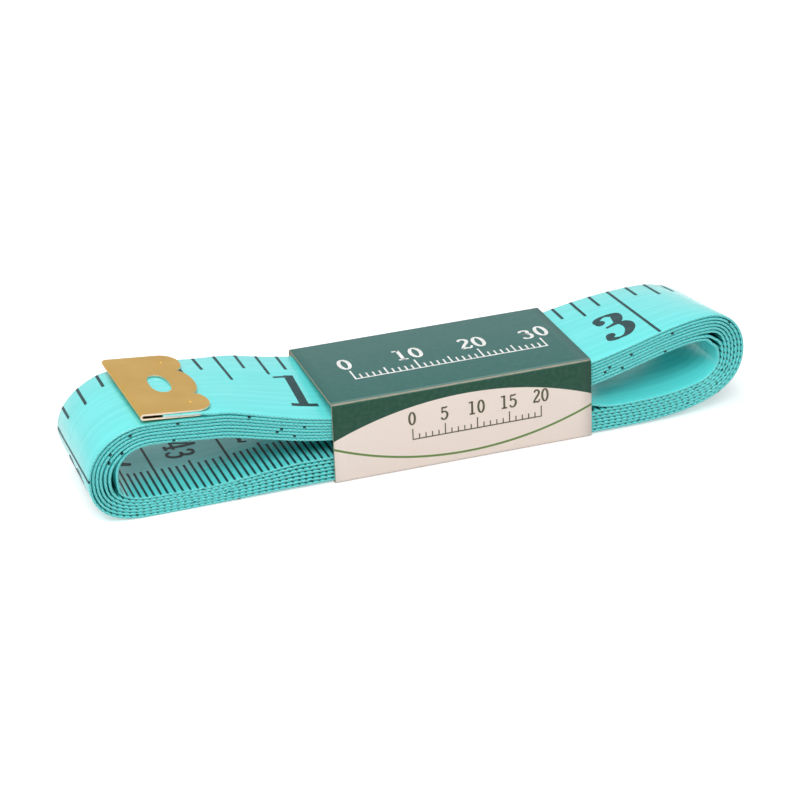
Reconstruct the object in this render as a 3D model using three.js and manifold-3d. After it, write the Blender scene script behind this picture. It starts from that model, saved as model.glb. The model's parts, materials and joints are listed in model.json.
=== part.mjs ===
// A cloth tape measure as it is sold: 1.5 m of coated cloth tape wound into a flat bundle,
// a folded brass clip on each end, and a printed card sleeve round the middle.
// Millimetres, +Z up, the bundle's length along X, the printed front of the sleeve towards -Y.
// The origin is on the table, under the middle of the whole bundle.
import * as THREE from 'three';
import { mergeVertices } from 'three/addons/utils/BufferGeometryUtils.js';
import Module from 'manifold-3d';

const wasm = await Module();
wasm.setup();

// The tape. It is drawn thinner than the real 0.4 mm, so that its turns stay apart.
const tapeWidth = 20;
const tapeThickness = 0.15;
const turnGap = 0.42;
const fullTurns = 7;

// Clearances: under and beside a piece that rests on another, between the clips and the card's
// walls, and between the two stretches of tape
const restGap = 0.3;
const sideGap = 0.15;
const tapeSplit = 0.3;

// The card sleeve, which is as wide and as high as what it holds
const sleeveLength = 40;
const cardThickness = 0.35;
const foldInsideRadius = 0.25;
const glueFlapDepth = 7;
const glueThickness = 0.1;
const glueMargin = 0.6;

// The upper run of the tape hangs lowest a little inside the left mouth, and rises from there
// to both mouths. Rises that differ between the tape's two long edges are given for both.
const runGap = 1.29;
const sagInset = 7.5;
const sagRise = { near: 0, far: 1.65 };
const leftMouthRise = { near: 0.45, far: 1.8 };
const leftMouthSlope = 0.22;
const rightMouthRise = { near: 0.85, far: 0.95 };
const rightMouthSlope = 0.12;

// The loops that stand out of the sleeve. A tip's height is a share of its crown's height, and
// the crowns and feet lie inwards of the tips.
const leftTipOut = 35.5;
const leftTipShare = 0.455;
const leftCrownInset = 9.2;
const leftCrownRise = 3.05;
const leftFootInset = 8;
const rightTipOut = 25.1;
const rightTipShares = { near: 0.62, far: 0.635 };
const rightCrownInset = 6.4;
const rightCrownRise = { near: 3.95, far: 1.65 };
const rampOut = 1.5;
const rampLength = 6;

// How full each rounded corner of a loop is, as a share of its sides; 0.55 makes an ellipse
const roundShare = 0.57;
const leftFootShares = { tip: 0.75, foot: 0.61 };
const rightFootShares = { tip: 0.68, foot: 0.67 };
const crownHandle = 5.5;
const shoulderHandle = 9;
const tailFootHandle = 1.5;
const tailClipHandle = 4;

// Each turn steps inwards once, over these shares of the stretches before and after the left
// crown, where it passes under the clip.
const stepInShares = { before: 0.4, after: 0.45 };
const stepsPerCorner = 9;
const stepsPerRun = 5;
const stepsPerLine = 2;

// The brass clips
const brassThickness = 0.3;
const clipOverhang = 0.2;
const clipReach = 9.9;
const sideLobeShoulder = 2.4;
const lobeDepth = 1.1;
const middleLobeWidth = 8.6;
const clipEyeInset = 4.4;
const clipEyeHalfLength = 2;
const clipEyeHalfWidth = 3.3;
const dimpleInset = 2.3;
const dimpleSideInset = 2.7;
const dimpleRadius = 0.45;
const dimpleDepth = 0.16;
const clipLead = 0.8;

// Where they sit: one leans on the turn under it past the left crown, and the other lies on the
// lower run inside the sleeve.
const clipFoldInset = 7.75;
const clipLift = 0.2;
const clipSeatShare = 0.345;
const endClipInset = 1.7;

const cornerSteps = 5;
const weldDistance = 0.001;

const turnPitch = tapeThickness + turnGap;
const halfTape = tapeWidth / 2;
const halfSleeve = sleeveLength / 2;
const mouthReach = halfSleeve + restGap;
const sleeveFloor = cardThickness + restGap;
const foldInside = tapeThickness / 2 + restGap;
const foldOutside = foldInside + brassThickness;
const clipWidth = tapeWidth + 2 * clipOverhang;
const sleeveWidth = clipWidth + 2 * (sideGap + cardThickness);
const lowerRunTop = sleeveFloor + (fullTurns - 1) * turnPitch + tapeThickness;
const sagBase = lowerRunTop + runGap + fullTurns * turnPitch + tapeThickness;
const rightMouthBase = sagBase + 2 * foldOutside;
const leftCrownHeight = sagBase + leftMouthRise.far + leftCrownRise;
const highestMouth = Math.max(
  sagBase + Math.max(leftMouthRise.near, leftMouthRise.far),
  rightMouthBase + Math.max(rightMouthRise.near, rightMouthRise.far),
);
const sleeveHeight = highestMouth + restGap + cardThickness;
const foldRadius = foldInsideRadius + cardThickness;
const wallTop = sleeveHeight - cardThickness - restGap;
const backOfSleeve = sleeveWidth / 2 + glueThickness + cardThickness;
const leftTipReach = halfSleeve + leftTipOut;
const rightTipReach = halfSleeve + rightTipOut;
const rightFootReach = halfSleeve + rampOut + rampLength;
const mouthOfEndClip = halfSleeve - endClipInset;
const tailHeight = lowerRunTop + restGap + foldOutside;
const edgeY = { near: -halfTape, far: halfTape };
const bundleMiddleX = (rightTipReach - leftTipReach) / 2;
const bundleMiddleY = (backOfSleeve - sleeveWidth / 2) / 2;

const tapeVinyl = new THREE.MeshStandardMaterial({ color: 0x6fe3d8, roughness: 0.3, metalness: 0 });
const clipBrass = new THREE.MeshStandardMaterial({ color: 0xcfa556, roughness: 0.35, metalness: 1 });
const printedCard = new THREE.MeshStandardMaterial({ color: 0x3a5a4a, roughness: 0.6, metalness: 0 });
const clearGlue = new THREE.MeshStandardMaterial({ color: 0xd9cfae, roughness: 0.4, metalness: 0 });

const smooth = (share) => THREE.MathUtils.smoothstep(share, 0, 1);

// A corner of a loop, from where the tape runs level to where it stands upright, or back
function roundCorner(path, level, upright, levelShare, uprightShare, toUpright) {
  const levelHandle = [THREE.MathUtils.lerp(level.x, upright.x, levelShare), level.y];
  const uprightHandle = [upright.x, THREE.MathUtils.lerp(upright.y, level.y, uprightShare)];
  if (toUpright) {
    path.bezierCurveTo(...levelHandle, ...uprightHandle, upright.x, upright.y);
  } else {
    path.bezierCurveTo(...uprightHandle, ...levelHandle, level.x, level.y);
  }
  path.curves.at(-1).isCorner = true;
}

// An outer turn of the tape, seen from the front in x and z: first along the top from the
// sleeve's left mouth and round the right loop
function upperCurves(edge) {
  const leftMouth = new THREE.Vector2(-mouthReach, sagBase + leftMouthRise[edge]);
  const sag = new THREE.Vector2(sagInset - halfSleeve, sagBase + sagRise[edge]);
  const rightMouth = new THREE.Vector2(mouthReach, rightMouthBase + rightMouthRise[edge]);
  const crownHeight = rightMouth.y + rightCrownRise[edge];
  const rightCrown = new THREE.Vector2(rightTipReach - rightCrownInset, crownHeight);
  const rightTip = new THREE.Vector2(rightTipReach, crownHeight * rightTipShares[edge]);
  const rightFoot = new THREE.Vector2(rightFootReach, 0);
  const sagHandle = (sag.x - leftMouth.x) / 2;
  const path = new THREE.Path();
  path.moveTo(leftMouth.x, leftMouth.y);
  path.bezierCurveTo(
    leftMouth.x + sagHandle, leftMouth.y - leftMouthSlope * sagHandle,
    sag.x - sagHandle, sag.y, sag.x, sag.y,
  );
  path.bezierCurveTo(
    sag.x + shoulderHandle, sag.y,
    rightMouth.x - shoulderHandle, rightMouth.y - rightMouthSlope * shoulderHandle,
    rightMouth.x, rightMouth.y,
  );
  path.bezierCurveTo(
    rightMouth.x + crownHandle, rightMouth.y + rightMouthSlope * crownHandle,
    rightCrown.x - crownHandle, rightCrown.y, rightCrown.x, rightCrown.y,
  );
  roundCorner(path, rightCrown, rightTip, roundShare, roundShare, true);
  roundCorner(path, rightFoot, rightTip, rightFootShares.foot, rightFootShares.tip, false);
  return path.curves;
}

// Then back along the table, over the sleeve's floor, and up round the left loop
function lowerCurves(edge) {
  const leftFoot = new THREE.Vector2(leftFootInset - leftTipReach, 0);
  const leftTip = new THREE.Vector2(-leftTipReach, leftCrownHeight * leftTipShare);
  const leftCrown = new THREE.Vector2(leftCrownInset - leftTipReach, leftCrownHeight);
  const leftMouth = new THREE.Vector2(-mouthReach, sagBase + leftMouthRise[edge]);
  const rampTop = rightFootReach - rampLength;
  const rampMiddle = rightFootReach - rampLength / 2;
  const path = new THREE.Path();
  path.moveTo(rightFootReach, 0);
  path.bezierCurveTo(rampMiddle, 0, rampMiddle, sleeveFloor, rampTop, sleeveFloor);
  path.lineTo(-rampTop, sleeveFloor);
  path.bezierCurveTo(-rampMiddle, sleeveFloor, -rampMiddle, 0, -rightFootReach, 0);
  path.lineTo(leftFoot.x, leftFoot.y);
  roundCorner(path, leftFoot, leftTip, leftFootShares.foot, leftFootShares.tip, true);
  roundCorner(path, leftCrown, leftTip, roundShare, roundShare, false);
  path.bezierCurveTo(
    leftCrown.x + crownHandle, leftCrown.y,
    leftMouth.x - shoulderHandle, leftMouth.y + leftMouthSlope * shoulderHandle,
    leftMouth.x, leftMouth.y,
  );
  return path.curves;
}

// The last of the tape, from the right loop's foot up into the clip on its inner end
function tailCurves() {
  const height = tailHeight - turnPitch * fullTurns - tapeThickness / 2;
  const path = new THREE.Path();
  path.moveTo(rightFootReach, 0);
  path.bezierCurveTo(
    rightFootReach - tailFootHandle, 0,
    mouthOfEndClip + tailClipHandle, height, mouthOfEndClip, height,
  );
  path.lineTo(mouthOfEndClip - clipLead - clipReach, height);
  return path.curves;
}

// Where the clip on the outer end folds, and how far it leans: its fold lies over the left
// crown, and its other end rests on the higher edge of the turn below.
function startClipSeat() {
  const fold = new THREE.Vector2(
    clipFoldInset - leftTipReach, leftCrownHeight + foldOutside + clipLift,
  );
  const lip = lowerCurves('far').at(-1).getPoint(clipSeatShare);
  lip.y += foldOutside + restGap - turnPitch;
  return { fold, tilt: Math.atan2(fold.y - lip.y, lip.x - fold.x) };
}

// The free end of the tape, from the sleeve's left mouth to where it stops inside its clip
function freeEndCurves(edge) {
  const { fold, tilt } = startClipSeat();
  const along = new THREE.Vector2(Math.cos(tilt), -Math.sin(tilt));
  const mouthOfClip = along.clone().multiplyScalar(clipReach + clipLead).add(fold);
  const handle = along.clone().multiplyScalar(crownHandle).add(mouthOfClip);
  const start = new THREE.Vector2(
    -mouthReach - tapeSplit, sagBase + leftMouthRise[edge] - tapeThickness / 2,
  );
  const path = new THREE.Path();
  path.moveTo(start.x, start.y);
  path.bezierCurveTo(
    start.x - crownHandle, start.y + leftMouthSlope * crownHandle,
    handle.x, handle.y, mouthOfClip.x, mouthOfClip.y,
  );
  path.lineTo(fold.x, fold.y);
  return path.curves;
}

function stepsOf(curve) {
  if (curve.isLineCurve) return stepsPerLine;
  return curve.isCorner ? stepsPerCorner : stepsPerRun;
}

// Points along one long edge of the tape: the outer face and, a thickness inwards, the inner
// face. A stretch's depth says how far inside the outer turn the tape lies there.
function edgePoints(curves, y, depthAt, firstStep) {
  const pairs = [];
  curves.forEach((curve, index) => {
    const steps = stepsOf(curve);
    for (let step = index === 0 ? firstStep : 1; step <= steps; step++) {
      const share = step / steps;
      const point = curve.getPoint(share);
      const tangent = curve.getTangent(share);
      const depth = depthAt(index + share);
      pairs.push([depth, depth + tapeThickness].map((inwards) => new THREE.Vector3(
        point.x + tangent.y * inwards, y, point.y - tangent.x * inwards,
      )));
    }
  });
  return pairs;
}

// Rings of four points across the tape, from the points along its two long edges
function ringsOf(near, far) {
  return near.map(([outer, inner], i) => [outer, inner, far[i][1], far[i][0]]);
}

// A closed skin through rings that have as many points each, with a flat cap on both ends
function loft(rings) {
  const count = rings[0].length;
  const faces = [];
  for (let i = 0; i < rings.length - 1; i++) {
    for (let k = 0; k < count; k++) {
      const here = i * count + k;
      const beside = i * count + (k + 1) % count;
      faces.push(here, beside, beside + count, here, beside + count, here + count);
    }
  }
  const last = (rings.length - 1) * count;
  for (let k = 2; k < count; k++) {
    faces.push(0, k, k - 1, last, last + k - 1, last + k);
  }
  const geometry = new THREE.BufferGeometry();
  const positions = rings.flat().flatMap((point) => point.toArray());
  geometry.setAttribute('position', new THREE.Float32BufferAttribute(positions, 3));
  geometry.setIndex(faces);
  return geometry;
}

// The wound tape as one unbroken strip, from the sleeve's left mouth to the tape's inner end
function coilRings() {
  const edges = Object.keys(edgeY).map((edge) => {
    const upper = upperCurves(edge);
    const wholeTurn = [...upper, ...lowerCurves(edge)];
    const crown = wholeTurn.length - 1;
    const stepStart = crown - stepInShares.before;
    const stepLength = stepInShares.before + stepInShares.after;
    const points = [];
    for (let turn = 0; turn < fullTurns; turn++) {
      const depthAt = (place) => turnPitch * (turn + smooth((place - stepStart) / stepLength));
      points.push(...edgePoints(wholeTurn, edgeY[edge], depthAt, turn === 0 ? 0 : 1));
    }
    const lastTurn = [...upper, ...tailCurves()];
    points.push(...edgePoints(lastTurn, edgeY[edge], () => turnPitch * fullTurns, 1));
    return points;
  });
  return ringsOf(...edges);
}

function freeEndRings() {
  const edges = Object.keys(edgeY).map((edge) => (
    edgePoints(freeEndCurves(edge), edgeY[edge], () => -tapeThickness / 2, 0)
  ));
  return ringsOf(...edges);
}

// The least gap between turns, from the points of each turn's inner face to the facets of the
// outer face of every stretch at least half a turn away, on both long edges
function leastGap(rings) {
  const apart = Math.floor(rings.length / fullTurns / 2);
  const segment = new THREE.Line3();
  const nearest = new THREE.Vector3();
  let least = Infinity;
  for (const [outer, inner] of [[0, 1], [3, 2]]) {
    for (let i = 0; i < rings.length; i++) {
      for (let j = 0; j < rings.length - 1; j++) {
        if (Math.abs(i - j) < apart) continue;
        segment.set(rings[j][outer], rings[j + 1][outer]);
        segment.closestPointToPoint(rings[i][inner], true, nearest);
        least = Math.min(least, nearest.distanceTo(rings[i][inner]));
      }
    }
  }
  return least;
}

function solidOf(geometry) {
  geometry.deleteAttribute('normal');
  geometry.deleteAttribute('uv');
  const merged = mergeVertices(geometry);
  return new wasm.Manifold(new wasm.Mesh({
    numProp: 3,
    vertProperties: new Float32Array(merged.attributes.position.array),
    triVerts: new Uint32Array(merged.index.array),
  }));
}

function geometryOf(solid) {
  const mesh = solid.getMesh();
  const geometry = new THREE.BufferGeometry();
  geometry.setAttribute('position', new THREE.Float32BufferAttribute(mesh.vertProperties, 3));
  geometry.setIndex([...mesh.triVerts]);
  return geometry;
}

// The points of an outline, without those that lie on the one before where two arcs meet
function outlinePoints(path) {
  const points = path.getPoints(cornerSteps);
  return points.filter((point, i) => point.distanceTo(points.at(i - 1)) > weldDistance);
}

function extruded(shape, depth) {
  const outline = new THREE.Shape(outlinePoints(shape));
  outline.holes = shape.holes.map((hole) => new THREE.Path(outlinePoints(hole)));
  return new THREE.ExtrudeGeometry(outline, { depth, bevelEnabled: false });
}

// A clip's upper leaf, with three rounded lobes and an eye. Its fold is along x = 0.
function lobedLeaf() {
  const halfClip = clipWidth / 2;
  const halfMiddle = middleLobeWidth / 2;
  const sideMiddle = (halfClip + halfMiddle) / 2;
  const sideHalf = (halfClip - halfMiddle) / 2;
  const notch = clipReach - lobeDepth;
  const shoulder = clipReach - sideLobeShoulder;
  const quarter = Math.PI / 2;
  const leaf = new THREE.Shape();
  leaf.moveTo(0, -halfClip);
  leaf.lineTo(shoulder, -halfClip);
  leaf.absellipse(shoulder, -sideMiddle, sideLobeShoulder, sideHalf, -quarter, 0);
  leaf.absellipse(notch, -sideMiddle, lobeDepth, sideHalf, 0, quarter);
  leaf.absellipse(notch, 0, lobeDepth, halfMiddle, -quarter, quarter);
  leaf.absellipse(notch, sideMiddle, lobeDepth, sideHalf, -quarter, 0);
  leaf.absellipse(shoulder, sideMiddle, sideLobeShoulder, sideHalf, 0, quarter);
  leaf.lineTo(0, halfClip);
  const eye = new THREE.Path();
  eye.absellipse(clipReach - clipEyeInset, 0, clipEyeHalfLength, clipEyeHalfWidth, 0, 2 * Math.PI);
  leaf.holes.push(eye);
  return extruded(leaf, brassThickness).translate(0, 0, foldInside);
}

function plainLeaf() {
  const length = clipReach - lobeDepth;
  const leaf = new THREE.BoxGeometry(length, clipWidth, brassThickness);
  return leaf.translate(length / 2, 0, -foldInside - brassThickness / 2);
}

// The bend that joins the leaves, run on a little along both so that they weld
function clipFold() {
  const quarter = Math.PI / 2;
  const fold = new THREE.Shape();
  fold.moveTo(brassThickness, -foldOutside);
  fold.lineTo(0, -foldOutside);
  fold.absarc(0, 0, foldOutside, -quarter, quarter, true);
  fold.lineTo(brassThickness, foldOutside);
  fold.lineTo(brassThickness, foldInside);
  fold.absarc(0, 0, foldInside, quarter, -quarter, false);
  fold.lineTo(brassThickness, -foldInside);
  return extruded(fold, clipWidth).rotateX(Math.PI / 2).translate(0, clipWidth / 2, 0);
}

// Two punched dimples bite the upper leaf into the tape
function dimple(side) {
  const cone = new THREE.ConeGeometry(2 * dimpleRadius, 2 * dimpleDepth, 2 * cornerSteps);
  const offset = side * (clipWidth / 2 - dimpleSideInset);
  return cone.rotateX(-Math.PI / 2).translate(clipReach - dimpleInset, offset, foldOutside);
}

function clipGeometry() {
  let clip = solidOf(clipFold()).add(solidOf(lobedLeaf())).add(solidOf(plainLeaf()));
  for (const side of [-1, 1]) {
    clip = clip.subtract(solidOf(dimple(side)));
  }
  return geometryOf(clip);
}

// The sleeve's card, seen from its left end in y and z: from the glue flap outside the back
// wall, over the top, down the front, under the tape and up the back wall.
function cardOutline() {
  const half = sleeveWidth / 2;
  const inner = half - cardThickness;
  const insideRadius = foldRadius - cardThickness;
  const flapInside = backOfSleeve - cardThickness;
  const flapFoot = sleeveHeight - glueFlapDepth;
  const upper = sleeveHeight - foldRadius;
  const quarter = Math.PI / 2;
  const card = new THREE.Shape();
  card.moveTo(backOfSleeve, flapFoot);
  card.lineTo(backOfSleeve, upper);
  card.absarc(backOfSleeve - foldRadius, upper, foldRadius, 0, quarter);
  card.absarc(foldRadius - half, upper, foldRadius, quarter, 2 * quarter);
  card.absarc(foldRadius - half, foldRadius, foldRadius, 2 * quarter, 3 * quarter);
  card.absarc(half - foldRadius, foldRadius, foldRadius, 3 * quarter, 4 * quarter);
  card.lineTo(half, wallTop);
  card.lineTo(inner, wallTop);
  card.absarc(half - foldRadius, foldRadius, insideRadius, 4 * quarter, 3 * quarter, true);
  card.absarc(foldRadius - half, foldRadius, insideRadius, 3 * quarter, 2 * quarter, true);
  card.absarc(foldRadius - half, upper, insideRadius, 2 * quarter, quarter, true);
  card.absarc(backOfSleeve - foldRadius, upper, insideRadius, quarter, 0, true);
  card.lineTo(flapInside, flapFoot);
  return card;
}

// Turns a shape drawn in y and z, extruded along the sleeve, to lie between the two mouths
function alongSleeve(shape, length) {
  const turned = new THREE.Matrix4().makeBasis(
    new THREE.Vector3(0, 1, 0), new THREE.Vector3(0, 0, 1), new THREE.Vector3(1, 0, 0),
  );
  return extruded(shape, length).applyMatrix4(turned).translate(-length / 2, 0, 0);
}

function glueSeam() {
  const inner = sleeveWidth / 2;
  const foot = sleeveHeight - glueFlapDepth + glueMargin;
  const seam = new THREE.Shape();
  seam.moveTo(inner, foot);
  seam.lineTo(inner + glueThickness, foot);
  seam.lineTo(inner + glueThickness, wallTop);
  seam.lineTo(inner, wallTop);
  return alongSleeve(seam, sleeveLength - 2 * glueMargin);
}

function named(name, geometry, material) {
  const mesh = new THREE.Mesh(geometry, material);
  mesh.name = name;
  return mesh;
}

const bundle = new THREE.Group();
bundle.position.set(-bundleMiddleX, -bundleMiddleY, 0);

const coil = coilRings();
console.log(`least gap between the tape's turns: ${leastGap(coil).toFixed(3)} mm`);
bundle.add(named('tape_coil', loft(coil), tapeVinyl));
bundle.add(named('tape_free_end', loft(freeEndRings()), tapeVinyl));

const seat = startClipSeat();
const startClip = named('start_clip', clipGeometry(), clipBrass);
startClip.position.set(seat.fold.x, 0, seat.fold.y);
startClip.rotation.y = seat.tilt;
bundle.add(startClip);

const endClip = named('end_clip', clipGeometry(), clipBrass);
endClip.position.set(mouthOfEndClip - clipLead - clipReach, 0, tailHeight);
bundle.add(endClip);

bundle.add(named('card_sleeve', alongSleeve(cardOutline(), sleeveLength), printedCard));
bundle.add(named('sleeve_glue', glueSeam(), clearGlue));

export default bundle;
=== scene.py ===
# The looks of the cloth tape measure: the wound tape with its printed scales, the brass clips,
# the printed card sleeve and its glue, a plain floor, soft lights and the camera.
import bpy
import bmesh
import json
import math
import numpy as np
from mathutils import Matrix, Vector

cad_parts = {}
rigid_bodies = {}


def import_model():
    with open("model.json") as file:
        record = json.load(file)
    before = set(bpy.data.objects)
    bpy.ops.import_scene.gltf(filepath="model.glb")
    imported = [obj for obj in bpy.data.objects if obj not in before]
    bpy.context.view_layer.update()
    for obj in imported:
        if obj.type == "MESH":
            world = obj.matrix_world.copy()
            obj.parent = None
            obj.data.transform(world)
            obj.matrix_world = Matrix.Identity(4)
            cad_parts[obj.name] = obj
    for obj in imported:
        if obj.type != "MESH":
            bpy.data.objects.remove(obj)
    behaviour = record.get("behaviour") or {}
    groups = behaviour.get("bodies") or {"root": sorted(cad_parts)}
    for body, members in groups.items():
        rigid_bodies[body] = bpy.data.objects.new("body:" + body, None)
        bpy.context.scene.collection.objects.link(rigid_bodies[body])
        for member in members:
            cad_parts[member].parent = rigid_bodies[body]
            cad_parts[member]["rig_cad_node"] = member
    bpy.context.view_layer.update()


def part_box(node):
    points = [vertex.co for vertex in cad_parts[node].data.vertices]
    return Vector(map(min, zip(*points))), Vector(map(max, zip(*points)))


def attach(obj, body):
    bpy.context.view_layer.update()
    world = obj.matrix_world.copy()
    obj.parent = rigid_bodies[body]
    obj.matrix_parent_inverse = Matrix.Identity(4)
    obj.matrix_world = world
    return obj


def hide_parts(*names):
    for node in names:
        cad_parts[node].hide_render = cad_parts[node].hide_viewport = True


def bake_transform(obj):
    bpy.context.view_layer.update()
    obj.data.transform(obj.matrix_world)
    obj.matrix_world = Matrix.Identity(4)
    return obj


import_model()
print("frame loaded")

# The pieces are drawn in millimetres, from the sleeve's middle, the tape's middle and the table,
# and this puts them in the frame.
sleeveLow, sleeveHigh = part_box("card_sleeve")
tapeLow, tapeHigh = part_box("tape_coil")
mm = 0.001
middle = Vector(((sleeveLow.x + sleeveHigh.x) / 2, (tapeLow.y + tapeHigh.y) / 2, 0))
toFrame = Matrix.Translation(middle) @ Matrix.Scale(mm, 4)

camera = {
    # place in metres, angles in degrees, lens and sensor in millimetres
    "place": (-0.10265, -0.3187, 0.1617), "yaw": 17.68, "pitch": 24.93, "roll": -2.45,
    "lens": 111.4, "sensor": 36, "nearest": 0.01,
}

lights = {
    # place and aim in metres, width and depth in metres, watts
    "overhead": ((-0.30, 0.05, 0.80), (0, 0, 0), 0.9, 0.6, 3.2),
    "left": ((-0.85, -0.25, 0.45), (0, 0, 0), 0.5, 0.5, 0.8),
    "front": ((-0.15, -0.72, 0.86), (0, 0, 0), 0.7, 0.5, 7.6),
    "right": ((0.75, 0.05, 0.42), (0, 0, 0), 0.4, 0.4, 0.8),
}
worldLight = 0.22

tape = {
    "width": 20, "thickness": 0.38,
    "rim": 0.17,            # radius of the long edges' corners
    "rimSteps": 3,
    "step": 0.6,            # length of the mesh's faces along the tape
    "crossCuts": 2,         # cuts that run along the tape's face
    "turns": 7,
    "outerEnd": -46.2,      # x where the route begins, inside the first clip
    "endTrim": 0.8,         # how much of the route's outer end has no tape
    "scaleStart": -44.65,   # x of the scales' zero
    "split": 29.5,          # from the zero to where the loose end's piece meets the wound one
    "joinGap": 0.02,        # what is left free between those two
    "sway": ((0.04, 31.0), (0.03, 12.7)),   # how far the edges wander, and over what length
    "drift": 0.2,           # how far the outer end stands towards the viewer, and the inner end away
    # slope of the print, by its place along the tape
    "lean": {-5: 0.065, 25: 0.065, 50: 0.0, 76: 0.0, 180: 0.03, 215: 0.03, 240: 0.0},
}

# Where the outermost turn runs: (x, z) of its near and far edges, heading in degrees, and the
# curve's handles before and after each place
turnPlaces = [
    ("left mouth", (-20.0, 10.32), (-20.0, 11.92), -8.6, 6.0, 3.8),
    ("sag", (-12.5, 9.9), (-12.5, 11.3), 0, 3.8, 9.0),
    ("right mouth", (20.0, 11.80), (20.0, 12.0), 12.0, 9.0, 8.0),
    ("right crown", (39.4, 16.12), (36.3, 13.95), 0, 5.2, 3.6),
    ("right tip", (45.07, 9.867), (45.07, 8.7), -90, 3.17, 6.5),
    ("right foot", (24.892, 0.36), (24.892, 0.36), -180, 13.62, 3.0),
    ("left ramp", (-25.0, 0.36), (-25.0, 0.36), -180, 3.0, 5.0),
    ("left foot", (-47.472, 0.05), (-48.1, 0.05), -180, 12.0, 4.88),
    ("left tip", (-55.75, 6.572), (-56.1, 6.8), -270, 4.91, 4.68),
    ("left crown", (-46.281, 14.574), (-46.8, 14.72), -360, 5.16, 5.0),
    ("left hump", (-36.3, 14.25), (-30.2, 13.9), -5.0, 1.2, 3.0),
]

# The far edge's handles where they differ from the near edge's
farHandles = {
    "left mouth": (6.0, 3.8), "right mouth": (9.0, 5.7), "right crown": (5.48, 3.69),
    "left foot": (12.0, 4.3), "left tip": (4.2, 4.6), "left crown": (3.6, 6.0), "left hump": (3.0, 1.5),
}

# The turns' spacing at each place of that round, counted from the left mouth
turnPitch = {
    0: 0.47, 1: 0.53, 2: 0.51, 2.5: 0.50, 3: 0.53, 3.5: 0.515, 4: 0.54, 4.5: 0.42, 5: 0.48,
    6: 0.56, 6.35: 0.49, 6.7: 0.40, 7: 0.43, 7.5: 0.53, 8: 0.54, 8.5: 0.57,
    9: 0.52, 9.5: 0.53, 10: 0.54, 10.4: 0.51, 11: 0.47,
}

# Gaps that open between two turns: after which turn, where, over what reach, and how wide
turnGaps = [
    (6, 3.55, 0.7, 0.40), (5, 3.35, 0.6, 0.58),
    (5, 7.9, 0.75, 0.60), (3, 8.1, 0.7, 0.12), (4, 8.1, 0.7, 0.10),
]

winding = {
    "steps": 60,            # points in each stretch of a turn
    "startAfter": 9,        # the place after which the outer end lies
    "stepIn": (8.65, 9.75), # where each turn steps inwards, under the first clip
    "lastFoot": 5,          # the place where the last turn ends and the tail starts
    "tailLift": 5.005,      # the tail's height in its clip
    "tailTurn": 17.3,       # x where the tail reaches that height
    "tailEnd": 8.9,         # x of the tape's inner end
    "tailHandle": 3.5,      # the tail's curve handles
    "tailSteps": 30, "levelSteps": 15,   # points in the tail's rise, and in its level part
}

# How far the loose end stands off the turn under it, by x, at its near and far edges
endLift = {
    "near": {-46.5: 0.98, -45.3: 0.915, -42.5: 0.63, -40.5: 0.48, -39.3: 0.41, -38.2: 0.22, -37.3: 0.06,
             -36.2: 0.07, -35.2: 0.10, -34.1: 0.11, -33.1: 0.07, -31: 0.02, -29: 0},
    "far": {-46.5: 0.98, -45.3: 0.87, -43: 0.64, -40: 0.37, -39.3: 0.33, -38: 0.21, -37.3: 0.11, -35.5: 0},
}


# Small helpers for meshes and materials

def smooth(share):
    share = np.clip(share, 0, 1)
    return share * share * (3 - 2 * share)


def turned(degrees):
    return np.array([math.cos(math.radians(degrees)), math.sin(math.radians(degrees))])


def bezier(start, startHandle, endHandle, end, steps):
    share = np.linspace(0, 1, steps, endpoint=False)[:, None]
    rest = 1 - share
    return (rest ** 3 * np.array(start) + 3 * share * rest ** 2 * np.array(startHandle)
            + 3 * share ** 2 * rest * np.array(endHandle) + share ** 3 * np.array(end))


def meshOf(bm, name):
    mesh = bpy.data.meshes.new(name)
    bm.to_mesh(mesh)
    bm.free()
    return mesh


def addPiece(mesh, name, *materials, sharpAngle=35):
    piece = bpy.data.objects.new(name, mesh)
    bpy.context.scene.collection.objects.link(piece)
    for material in materials:
        mesh.materials.append(material)
    mesh.transform(toFrame)
    mesh.polygons.foreach_set("use_smooth", [True] * len(mesh.polygons))
    mesh.set_sharp_from_angle(angle=math.radians(sharpAngle))
    mesh.update()
    return piece


def node(tree, kind, inputs=None, **settings):
    made = tree.nodes.new(kind)
    for name, value in settings.items():
        setattr(made, name, value)
    for name, value in (inputs or {}).items():
        if isinstance(value, bpy.types.NodeSocket):
            tree.links.new(value, made.inputs[name])
        else:
            made.inputs[name].default_value = value
    return made


def calc(tree, operation, first, second=0.0):
    return node(tree, "ShaderNodeMath", {0: first, 1: second}, operation=operation).outputs[0]


def between(tree, value, low, high, toLow=0.0, toHigh=1.0):
    limits = {"Value": value, "From Min": low, "From Max": high, "To Min": toLow, "To Max": toHigh}
    return node(tree, "ShaderNodeMapRange", limits, interpolation_type="SMOOTHSTEP").outputs["Result"]


def mixed(tree, share, first, second):
    made = node(tree, "ShaderNodeMix", {0: share}, data_type="RGBA")
    for index, value in ((6, first), (7, second)):   # the node's two colours
        if isinstance(value, bpy.types.NodeSocket):
            tree.links.new(value, made.inputs[index])
        else:
            made.inputs[index].default_value = (*value, 1)
    return made.outputs[2]   # the mixed colour


def noise(tree, place, stretch, detail=3.0):
    spread = node(tree, "ShaderNodeVectorMath", {0: place, 1: stretch}, operation="MULTIPLY").outputs[0]
    inputs = {"Vector": spread, "Scale": 1.0, "Detail": detail}
    return node(tree, "ShaderNodeTexNoise", inputs).outputs["Fac"]


def bump(tree, height, distance, strength=1.0, normal=None):
    inputs = {"Height": height, "Distance": distance, "Strength": strength}
    if normal is not None:
        inputs["Normal"] = normal
    return node(tree, "ShaderNodeBump", inputs).outputs["Normal"]


def newMaterial(name):
    material = bpy.data.materials.new(name)
    material.use_nodes = True
    return material, material.node_tree, material.node_tree.nodes["Principled BSDF"]


# Camera, lights and floor

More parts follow.
